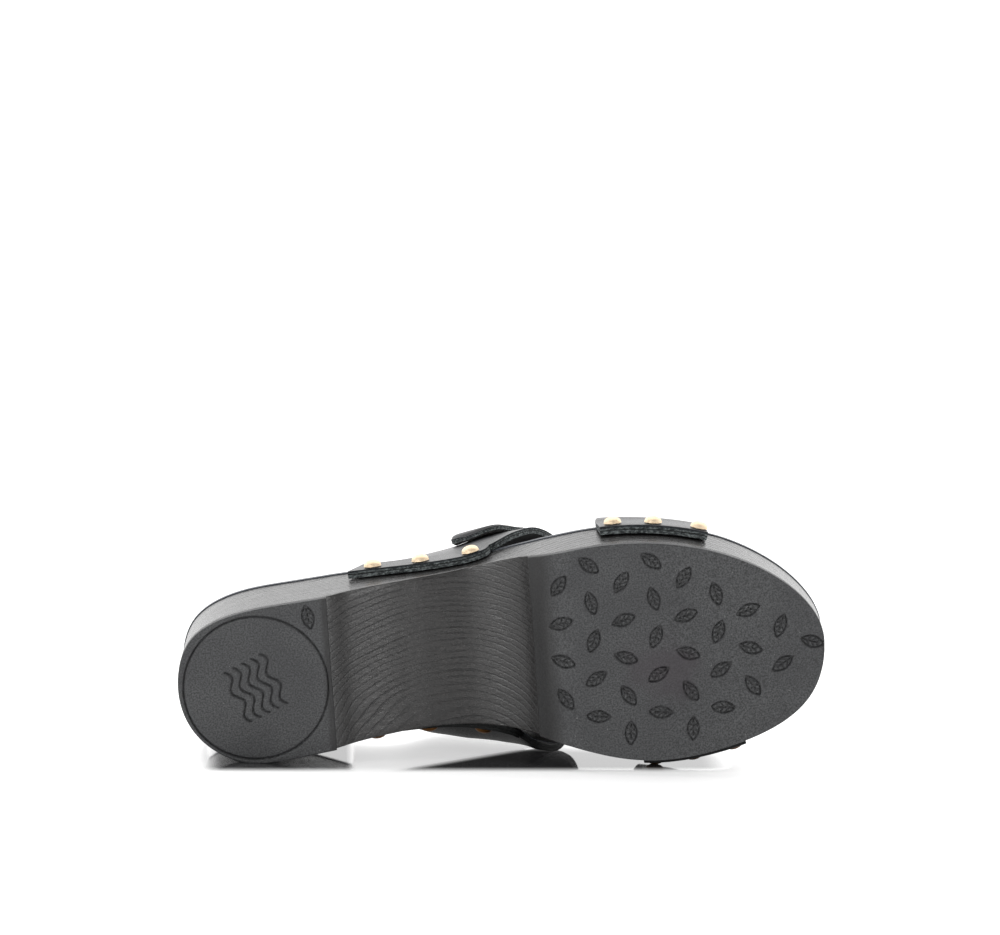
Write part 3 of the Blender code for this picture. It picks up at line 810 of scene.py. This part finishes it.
def piece(name, points, faces, looks, node, which=None, crisp=35.0, attributes=None):
    """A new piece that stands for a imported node."""
    mesh = bpy.data.meshes.new(name)
    mesh.from_pydata([LAID @ (Vector(p) * MM) for p in points], [], faces)
    for look in looks:
        mesh.materials.append(look)
    if which is not None:
        mesh.polygons.foreach_set("material_index", which)
    for key, values in (attributes or {}).items():
        layer = mesh.attributes.new(key, "FLOAT", "POINT")
        layer.data.foreach_set("value", np.asarray(values, dtype=np.float32))
    face_outwards(mesh)
    mesh.shade_smooth()
    mesh.set_sharp_from_angle(angle=math.radians(crisp))
    mesh.validate()
    obj = new_object(name, mesh)
    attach(obj, "root")
    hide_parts(node)
    return obj


def stations(start, end, step):
    """Places along the shoe, close together towards its two ends, with start and end among them."""
    end_angle = 0.012
    widest_turn = 0.035
    low = max(float(lap_angle(max(start, 0.0))), end_angle)
    high = min(float(lap_angle(min(end, LENGTH))), math.pi - end_angle)
    places = [at_angle(low)]
    while places[-1] < end:
        angle = float(lap_angle(places[-1]))
        turn = step / max(0.5 * LENGTH * math.sin(angle), 1.0)
        angle += min(turn, widest_turn)
        if angle >= high:
            break
        places.append(at_angle(angle))
    last = at_angle(high)
    if last - places[-1] < 0.3 * step and len(places) > 2:
        places.pop()
    places.append(last)
    return places


def slab(places, low, high, grow, soft, across, levels, round_count=5, on_top=None, on_face=None):
    """Points of a layer with the sole's plan, as rings that follow each other. across holds the number
    of steps over its lower and upper face, and levels the number of rows on its wall between the rounded
    edges. on_face says how much of GROOVE_DEPTH is pressed into the lower face, and on_top gives the
    height added to the upper face."""
    rings = []
    quarter = [math.pi / 2.0 * i / (round_count - 1) for i in range(round_count)]
    for along in places:
        bottom = low(along)
        top = high(along)
        walls = {}
        for side in (OUTER, INNER):
            lower = []
            upper = []
            for angle in quarter:
                rise = 1.0 - math.cos(angle)
                inset = 1.0 - math.sin(angle)
                foot = rim(along, side, grow[0](along, side) - soft[0] * inset)
                head = rim(along, side, grow[1](along, side) - soft[1] * inset)
                lower.append((*foot, bottom + soft[0] * rise))
                upper.append((*head, top - soft[1] * rise))
            steps = np.arange(1, levels + 1)[:, None] / (levels + 1)
            between = mix(np.array(lower[-1]), np.array(upper[-1]), steps)
            walls[side] = np.concatenate((lower, between, upper[::-1]))
        steps = np.arange(1, across[1])[:, None] / across[1]
        over = mix(walls[OUTER][-1], walls[INNER][-1], steps)
        if on_top is not None:
            over[:, 2] += on_top(along, steps[:, 0])
        steps = np.arange(1, across[0])[:, None] / across[0]
        under = mix(walls[INNER][0], walls[OUTER][0], steps)
        if on_face is not None:
            under[:, 2] += on_face(under[:, 0], under[:, 1]) * GROOVE_DEPTH
        rings.append(np.concatenate((walls[OUTER], over, walls[INNER][::-1], under)))
    return rings, len(walls[OUTER]), across[1] - 1


def flush(along, side):
    """The edge stays on the plan."""
    return 0.0


def tread_top(along):
    return underside(along) - GAP


def tread_face(along):
    return tread_top(along) - RUBBER


def slab_end(start, size, wall_count, over_count):
    """Faces that close one end of a slab, level by level from its outer wall to its inner wall."""
    far = 2 * wall_count + over_count - 1
    faces = []
    for level in range(wall_count - 1):
        face = [level, level + 1, far - level - 1, far - level]
        if level == wall_count - 2:
            face = list(range(level, far - level + 1))
        if level == 0:
            face += range(far + 1, size)
        faces.append([start + index for index in face])
    return faces


def slab_piece(name, slab_rings, look, node, crisp, attributes=None):
    rings, wall_count, over_count = slab_rings
    size = len(rings[0])
    last = (len(rings) - 1) * size
    faces = ring_faces(len(rings), size)[1:-1]
    faces += slab_end(0, size, wall_count, over_count) + slab_end(last, size, wall_count, over_count)
    piece(name, np.concatenate(rings), faces, [look], node, crisp=crisp, attributes=attributes)


def make_wood(look):
    def seat_edge(along, side):
        return FLARE[side](along)

    places = stations(0.0, LENGTH, 1.5)
    rings = slab(places, underside, seat, (flush, seat_edge), WOOD_SOFT, (22, 10), 9)
    slab_piece("wooden_sole", rings, look, "sole_wood", 50.0)


def make_bed(look):
    def bed_edge(along, side):
        return FLARE[side](along) + BED_OVERHANG

    def bed_low(along):
        return seat(along) + GAP

    def bed_high(along):
        return seat(along) + GAP + INSOLE

    def hollow(along, t):
        """The bed's dip between its edges: a cup under the heel, nearly flat at the toes."""
        depth = mix(*DIP_DEPTH, passed(DIP_CHANGE, along)) * passed(DIP_GROWTH, plan_width(along))
        return -depth * (4.0 * t * (1.0 - t)) ** 0.8

    places = stations(0.0, LENGTH, 1.6)
    rings = slab(places, bed_low, bed_high, (bed_edge, bed_edge), BED_SOFT, (8, 40), 2, 7, on_top=hollow)
    slab_piece("footbed", rings, look, "insole", 50.0)


def groove(distance):
    """Depth of a pressed line, from 1 on it to 0 at its sides."""
    t = np.clip(1.0 - np.abs(distance) / GROOVE_HALF, 0.0, 1.0)
    return t * t * (3.0 - 2.0 * t)


def to_line(u, v, half):
    """Distance to a straight line of that half length along u."""
    return np.hypot(np.maximum(np.abs(u) - half, 0.0), v)


def turned(x, y, middle, turn):
    """Places as seen from a middle, along axes turned by that many degrees."""
    c = math.cos(math.radians(turn))
    s = math.sin(math.radians(turn))
    return (x - middle[0]) * c + (y - middle[1]) * s, (y - middle[1]) * c - (x - middle[0]) * s


def leaf_mark(x, y, middle, turn):
    """A pressed leaf: its outline, a vein and a few side veins."""
    u, v = turned(x, y, middle, turn)
    part = u / LEAF["long"]
    bow = LEAF["wide"] * (1.0 - part * part)
    slope = 2.0 * LEAF["wide"] * part / LEAF["long"]
    outline = (np.abs(v) - bow) / np.sqrt(1.0 + slope * slope)
    depth = np.where(np.abs(part) < 1.0, groove(outline), 0.0)
    start, end = LEAF["vein"]
    depth = np.maximum(depth, groove(to_line(u - 0.5 * (start + end), v, 0.5 * (end - start))))
    inside = np.where((np.abs(part) < 1.0) & (np.abs(v) < bow), 1.0, 0.0)
    for place in LEAF_VEINS["starts"]:
        off = u - place - LEAF_VEINS["lean"] * np.abs(v)
        reach = np.where(np.abs(v) < LEAF_VEINS["long"], 1.0, 0.0)
        depth = np.maximum(depth, LEAF_VEINS["depth"] * groove(off * SLANTED) * reach * inside)
    return depth


def mark_places():
    """Staggered rows of marks that stay inside the plan, turned by turns."""
    found = []
    for row in range(LEAF_ROWS["count"]):
        along = LEAF_ROWS["first"] + LEAF_ROWS["step"] * row
        for number in range(-3, 4):
            across = (number + 0.5 * (row % 2)) * LEAF_ROWS["across"]
            side = INNER if across > 0.0 else OUTER
            steps = (-LEAF_ROWS["reach"], 0.0, LEAF_ROWS["reach"])
            nearest = min(REACH[side](lap_angle(along + step)) for step in steps)
            if abs(across) + LEAF_ROWS["edge"] < nearest:
                turn = LEAF_TURN["first"] + LEAF_TURN["odd_row"] * (row % 2) + LEAF_TURN["step"] * number
                found.append(((along, across), turn))
    return found


def forefoot_marks(x, y):
    depth = np.zeros(len(x))
    for middle, turn in MARKS:
        depth = np.maximum(depth, leaf_mark(x, y, middle, turn))
    return depth


def heel_marks(x, y):
    """A pressed ring with a few wavy lines inside it, and one mark in the corner."""
    middle = HEEL_RING["middle"]
    depth = groove(np.hypot(x - middle[0], y - middle[1]) - HEEL_RING["radius"])
    u, v = turned(y, x, middle[::-1], HEEL_WAVES["turn"])
    swing = HEEL_WAVES["swing"] * np.sin(2.0 * math.pi * u / HEEL_WAVES["length"])
    for number in range(HEEL_WAVES["count"]):
        shift = (number - 0.5 * (HEEL_WAVES["count"] - 1)) * HEEL_WAVES["step"]
        depth = np.maximum(depth, groove(to_line(u, (v - shift - swing) * SLANTED, HEEL_WAVES["half"])))
    return np.maximum(depth, leaf_mark(x, y, HEEL_LEAF["middle"], HEEL_LEAF["turn"]))


MARKS = mark_places()


def make_tread(name, node, start, end, marks, look):
    places = stations(start, end, MARK_STEP)
    across = (int(max(plan_width(along) for along in places) / MARK_STEP), 3)
    edges = (flush, flush)
    slab_rings = slab(places, tread_face, tread_top, edges, RUBBER_SOFT, across, 1, 4, on_face=marks)
    rings = slab_rings[0]
    points = np.concatenate(rings)
    pressed = np.zeros(len(points))
    size = len(rings[0])
    first = size - across[0] + 1
    for i in range(len(rings)):
        row = slice(i * size + first, (i + 1) * size)
        pressed[row] = marks(points[row, 0], points[row, 1])
    slab_piece(name, slab_rings, look, node, 60.0, {"groove": pressed})


def round_edges(obj, border, half, soft):
    """Rounds the two lines of edges that run round a sheet, below and above."""
    weights = obj.data.attributes.new("bevel_weight_edge", "FLOAT", "EDGE")
    both_ways = {pair for a, b in border for pair in ((a, b), (b, a))}
    for line in obj.data.edges:
        a, b = line.vertices
        if (a < half) == (b < half) and (a % half, b % half) in both_ways:
            weights.data[line.index].value = 1.0
    rounded = obj.modifiers.new("rounded", "BEVEL")
    rounded.limit_method = "WEIGHT"
    rounded.width = soft * MM
    rounded.segments = 3


def sheet_piece(name, pair, places, columns, looks, node, folds, soft):
    """A strap between its lower and upper points, with rounded cut edges."""
    under = []
    upper = []
    for p in places:
        for j in range(columns):
            across = j / (columns - 1)
            low, high = pair(p, across)
            rise = (high - low).normalized() * soft_folds(folds, p, across)
            under.append(low + rise)
            upper.append(high + rise)
    rows = len(places)
    half = rows * columns
    faces = []
    which = []
    for i in range(rows - 1):
        for j in range(columns - 1):
            a = i * columns + j
            b = a + columns
            faces.append([half + a, half + b, half + b + 1, half + a + 1])
            faces.append([a, a + 1, b + 1, b])
            which += [0, 1]
    edge = list(range(columns))
    edge += [i * columns + columns - 1 for i in range(1, rows)]
    edge += [(rows - 1) * columns + j for j in range(columns - 2, -1, -1)]
    edge += [i * columns for i in range(rows - 2, 0, -1)]
    border = list(zip(edge, edge[1:] + edge[:1]))
    for a, b in border:
        faces.append([a, half + a, half + b, b])
        which.append(2)
    layer = [0.0] * half + [1.0] * half
    obj = piece(name, under + upper, faces, looks, node, which=which, attributes={"layer": layer})
    round_edges(obj, border, half, soft)
    return obj


def spaced(start, end, count):
    return [mix(start, end, i / (count - 1)) for i in range(count)]


def circle(first, second, radius, sides, start=0.0):
    """Steps from a middle to the points of a circle in the plane of two directions."""
    angles = [2.0 * math.pi * (j + start) / sides for j in range(sides)]
    return [(first * math.cos(angle) + second * math.sin(angle)) * radius for angle in angles]


def punch(obj):
    """Cuts the tongue's holes: the prong stands in the first."""
    origin, way, front, out = buckle_axes()
    sides = 28
    for step in HOLE_STEPS:
        centre = origin + way * step
        ring = circle(way, front, HOLE_RADIUS, sides)
        points = []
        for height in HOLE_ENDS:
            points += [LAID @ ((centre + off + out * height) * MM) for off in ring]
        mesh = bpy.data.meshes.new("hole")
        mesh.from_pydata(points, [], ring_faces(2, sides))
        for look in obj.data.materials:
            mesh.materials.append(look)
        mesh.polygons.foreach_set("material_index", [2] * len(mesh.polygons))
        drill = new_object("hole", mesh)
        cut = obj.modifiers.new("hole", "BOOLEAN")
        cut.operation = "DIFFERENCE"
        cut.solver = "EXACT"
        cut.object = drill
        bpy.context.view_layer.update()
        seen = obj.evaluated_get(bpy.context.evaluated_depsgraph_get())
        solid = bpy.data.meshes.new_from_object(seen)
        obj.modifiers.clear()
        obj.data = solid
        bpy.data.objects.remove(drill, do_unlink=True)


def soft_folds(folds, place, across):
    """The height that soft troughs across a strap add to its form."""
    rise = 0.0
    for at, lean, wide, depth in folds:
        off = (place - at - lean * (across - 0.5)) / wide
        rise -= depth * math.exp(-off * off)
    return rise


def make_straps(looks, inner_looks):
    hem = 18
    whole = spaced(-2.0, -1.0, hem)[:-1] + spaced(-1.0, 1.0, 110) + spaced(1.0, 2.0, hem)[1:]
    sheet_piece("toe_strap_leather", strap_pair(TOE_STRAP), whole, 34, looks, "toe_strap",
                TOE_FOLDS, STRAP_ROUND)
    outer = spaced(-2.0, -1.0, hem)[:-1] + spaced(-1.0, LATERAL_END, 48)
    sheet_piece("instep_leather_outer", strap_pair(INSTEP_STRAP), outer, 46, looks, "instep_strap_outer",
                OUTER_FOLDS, STRAP_ROUND)
    bend = TONGUE_END + TIP_LONG
    inner = spaced(2.0, 1.0, hem)[:-1] + spaced(1.0, bend, 110) + spaced(bend, TONGUE_END, 22)[1:]
    obj = sheet_piece("instep_leather_inner", inner_half_pair, inner, 46, inner_looks, "instep_strap_inner",
                      INNER_FOLDS, TONGUE_ROUND)
    punch(obj)


def tube(name, path, normal, radii, closed, look, node, sides=20):
    """A round bar along a path, whose first side faces along the normal."""
    points = []
    count = len(path)
    for i, centre in enumerate(path):
        ahead = path[(i + 1) % count] if closed else path[min(i + 1, count - 1)]
        behind = path[i - 1] if closed else path[max(i - 1, 0)]
        way = (ahead - behind).normalized()
        up = (normal - way * normal.dot(way)).normalized()
        points += [centre + off for off in circle(up, way.cross(up), radii[i], sides, 0.5)]
    faces = ring_faces(count, sides, closed)
    piece(name, points, faces, [look], node, crisp=60.0)


def make_buckle(look):
    origin, way, front, out = buckle_axes()
    near = GAP + FRAME_WIRE - BAR_SINK
    far = LEATHER_CROWN + 2.0 * GAP + FRAME_WIRE + FRAME_OVER
    wide = TONGUE_HALF + FRAME_BESIDE + FRAME_WIRE
    corner_steps = 8
    path = []
    for turn, (sign_long, sign_wide) in enumerate(((1, 1), (-1, 1), (-1, -1), (1, -1))):
        for step in range(corner_steps + 1):
            angle = (turn + step / corner_steps) * math.pi / 2.0
            a = sign_long * (FRAME_LONG - FRAME_CORNER) + FRAME_CORNER * math.cos(angle)
            b = sign_wide * (wide - FRAME_CORNER) + FRAME_CORNER * math.sin(angle)
            height = mix(near, far, (a + FRAME_LONG) / (2.0 * FRAME_LONG))
            path.append(origin + way * a + front * b + out * height)
    tube("buckle_wire", path, out, [FRAME_WIRE] * len(path), True, look, "buckle_frame")
    top = far + FRAME_WIRE + PRONG_WIRE + GAP
    steps = PRONG_ROOT + tuple((step, top + off) for step, off in PRONG_OVER)
    knots = np.linspace(0.0, 1.0, len(steps))
    run = held_curve(knots, column(steps, 0))
    rise = even_curve(knots, column(steps, 1))
    prong = []
    radii = []
    count = 40
    for i in range(count):
        t = i / (count - 1)
        prong.append(origin + way * run(t) + out * rise(t))
        past = max(t - PRONG_TIP[0], 0.0) / PRONG_TIP[1]
        radii.append(PRONG_WIRE * math.sqrt(max(1.0 - past ** 2, 0.0)))
    tube("buckle_pin", prong, front, radii, False, look, "buckle_prong", sides=16)


def make_studs(look):
    for name, strap, side, height, places in STUDS:
        for number, across in enumerate(places, 1):
            make_stud(f"{name}_{number}", strap, side, across, height, look)


def make_stud(name, strap, side, across, raise_by, look):
    place = side * (1.0 + (mix(*strap["lap"], across) - raise_by) / hem_depth(strap, across))
    tiny = 0.05
    above = strap_face(strap, place - side * tiny, across)
    below = strap_face(strap, place + side * tiny, across)
    way = (below - above).normalized()
    front = strap_axes(strap, place, across)[1]
    out = front.cross(way).normalized() * side
    front = way.cross(out)
    base = strap_face(strap, place, across) + out * STUD_GAP
    dome = STUD_HEIGHT[side]
    rings = [(STUD_RADIUS + off, height) for off, height in STUD_EDGE]
    shoulder = rings[-1][0]
    dome_steps = 12
    for i in range(1, dome_steps):
        angle = math.pi / 2.0 * i / dome_steps
        rings.append((shoulder * math.cos(angle), STUD_RIM + (dome - STUD_RIM) * math.sin(angle)))
    sides = 40
    points = []
    for radius, height in rings:
        points += [base + off + out * height for off in circle(way, front, radius, sides)]
    faces = ring_faces(len(rings), sides)[:-1]
    points.append(base + out * dome)
    last = (len(rings) - 1) * sides
    for j in range(sides):
        faces.append([last + j, last + (j + 1) % sides, len(points) - 1])
    piece(f"dome_{name}", points, faces, [look], f"stud_{name}", crisp=60.0)


# Stage

def make_camera():
    azimuth, elevation, roll = (math.radians(CAMERA[key]) for key in ("azimuth", "elevation", "roll"))
    turn = Matrix.Rotation(-azimuth, 4, "Z") @ Matrix.Rotation(math.pi / 2.0 - elevation, 4, "X")
    turn = turn @ Matrix.Rotation(roll, 4, "Z")
    data = bpy.data.cameras.new("camera")
    data.lens = CAMERA["lens"]
    data.sensor_width = CAMERA["sensor"]
    data.clip_start, data.clip_end = CAMERA["clip"]
    camera = new_object("camera", data)
    camera.matrix_world = turn @ Matrix.Translation(CAMERA["eye"])
    bpy.context.scene.camera = camera


LIGHTS = (
    # name, place, aim, width, height, power
    ("above", (0.0, 0.6, 2.2), (0.0, 0.0, 0.0), 2.4, 2.4, 24.0),
    ("front", (-0.72, -1.62, 0.48), (0.0, 0.0, 0.10), 0.34, 0.95, 11.5),
    ("right", (1.20, -1.30, 0.48), (0.0, 0.0, 0.10), 0.34, 0.95, 9.0),
    ("left", (-1.40, -1.30, 0.60), (0.0, 0.0, 0.10), 0.80, 1.20, 9.0),
)


def make_lights():
    for name, place, aim, width, height, power in LIGHTS:
        data = bpy.data.lights.new(name, "AREA")
        data.shape = "RECTANGLE"
        data.size = width
        data.size_y = height
        data.energy = power
        light = new_object(name, data)
        light.location = place
        way = Vector(aim) - Vector(place)
        light.rotation_mode = "QUATERNION"
        light.rotation_quaternion = way.to_track_quat("-Z", "Y")


# Brightness of the room on the camera's side, behind the shoe, and what is added to its sides
ROOM = {"dim": 0.12, "bright": 1.58, "sides": 2.2}


def make_world():
    """A white room: bright behind the shoe and most at its sides, dim on the camera's side."""
    world = bpy.data.worlds.new("room")
    bpy.context.scene.world = world
    world.use_nodes = True
    look = Nodes(world.node_tree)
    x, y = look.split(look.add("TexCoord").outputs["Generated"])[:2]
    aside = look.times(look.math("ABSOLUTE", x), look.spread(y, -0.25, 0.25, 0.0, ROOM["sides"]))
    behind = look.spread(y, -0.40, 0.50, ROOM["dim"], ROOM["bright"])
    shine = world.node_tree.nodes["Background"]
    shine.inputs["Color"].default_value = (1.0, 1.0, 1.0, 1.0)
    look.put(shine.inputs["Strength"], look.plus(behind, aside))


# The floor: half its size, where its polish and painted shade fade in and out, and how much two of these
# edges run aslant
FLOOR_HALF = 9.0
POLISHED_SHADE = {"front": (-0.0555, -0.0425), "aslant": 0.168, "back": (0.016, -0.010)}
POLISHED_SHADE_SIDES = (-0.118, -0.108, 0.10, 0.08)
SHADE_GAP = {"from": (-0.060, -0.055), "to": (0.021, 0.010), "aslant": 0.95, "most": 0.85}


def make_floor():
    """A white floor that glows; close round the shoe it is polished, so it mirrors the shoe, and painted
    dark there, a painted shade.
    """
    mesh = bpy.data.meshes.new("floor")
    corners = [(a * FLOOR_HALF, b * FLOOR_HALF, 0.0) for a, b in ((-1, -1), (1, -1), (1, 1), (-1, 1))]
    mesh.from_pydata(corners, [], [(0, 1, 2, 3)])
    look = Look("white_floor", ior=1.45)
    x, y = look.split(look.place)[:2]
    ahead = look.minus(y, look.times(x, POLISHED_SHADE["aslant"]))
    near = look.times(look.spread(ahead, *POLISHED_SHADE["front"]), look.spread(y, *POLISHED_SHADE["back"]))
    near = look.times(near, look.band(x, *POLISHED_SHADE_SIDES))
    # the polished patch of painted shade is left out where the inner strap's rear corner stands
    slanted = look.minus(x, look.times(y, SHADE_GAP["aslant"]))
    shade_gap = look.times(look.spread(x, *SHADE_GAP["from"]), look.spread(slanted, *SHADE_GAP["to"], 0.0, SHADE_GAP["most"]))
    near = look.times(near, look.minus(1.0, shade_gap))
    # painted shade: dark close round the shoe, where the floor also stops glowing
    look.set(base_color=look.blend(near, (0.50, 0.50, 0.50), (0.06, 0.06, 0.062)))
    look.set(roughness=look.spread(near, 0.0, 0.6, 0.6, 0.05), emission_color=(1.0, 1.0, 1.0))
    look.set(emission_strength=look.spread(near, 0.0, 1.0, 0.62, 0.0, smooth=False))
    mesh.materials.append(look.material)
    floor = new_object("floor", mesh)


def main():
    for obj in list(bpy.data.objects):
        bpy.data.objects.remove(obj, do_unlink=True)
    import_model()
    bpy.context.scene.view_settings.view_transform = "Standard"
    make_camera()
    make_lights()
    make_world()
    make_floor()
    rubber = rubber_look()
    # painted shade: the straps' flesh side is near black; painted light: the tongue's flesh side is lit up
    # high
    shaded_flesh = flesh_look("flesh_side_painted_shade", (0.003, 0.003, 0.0035), (0.009, 0.009, 0.010))
    tail = flesh_look("tongue_flesh_painted_light", (0.004, 0.004, 0.0045), (0.095, 0.096, 0.095))
    cut = cut_edge_look()
    straps = [leather_look("black_leather", 0.5, (0.30, 0.44)), shaded_flesh, cut]
    inner = [leather_look("black_leather_inner", 0.15, (0.40, 0.54)), tail, cut]
    brass = brass_look()
    make_wood(wood_look())
    make_tread("heel_rubber", "outsole_heel", 0.0, HEEL_BREAST, heel_marks, rubber)
    make_tread("forefoot_rubber", "outsole_forefoot", FOREFOOT_EDGE, LENGTH, forefoot_marks, rubber)
    make_bed(bed_look())
    make_straps(straps, inner)
    make_buckle(brass)
    make_studs(brass)
    bpy.context.view_layer.update()


main()
